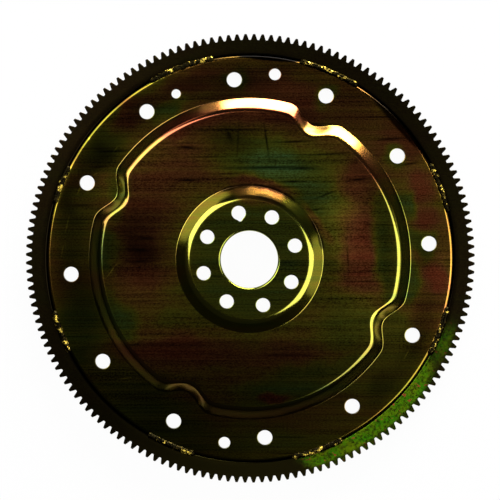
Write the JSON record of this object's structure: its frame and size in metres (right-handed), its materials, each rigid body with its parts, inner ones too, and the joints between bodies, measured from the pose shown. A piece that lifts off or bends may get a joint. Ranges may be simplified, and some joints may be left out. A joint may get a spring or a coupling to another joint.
{
  "type": "flexplate",
  "caption": "Stamped steel flexplate with a raised hub, a lobed step, bolt holes for crank and converter, and a starter ring gear welded to its rim.",
  "frame": {"origin": "centre of the hub's front face, where the crankshaft seats", "axes": "+Z along the disc's axis out of the hub's front face, +X through a crank bolt hole"},
  "size_m": [0.363, 0.363, 0.025],
  "materials": {
    "plate_plating": "yellow zinc plating with a rainbow sheen",
    "ring_plating": "yellow zinc plating with a rainbow sheen",
    "weld": "rough weld metal, plated over"
  },
  "bodies": {
    "root": {"plate": "plate_plating", "ring_gear": "ring_plating", "weld_bead_1": "weld", "weld_bead_2": "weld", "weld_bead_3": "weld", "weld_bead_4": "weld", "weld_bead_5": "weld", "weld_bead_6": "weld", "weld_bead_7": "weld", "weld_bead_8": "weld"}
  },
  "joints": []
}
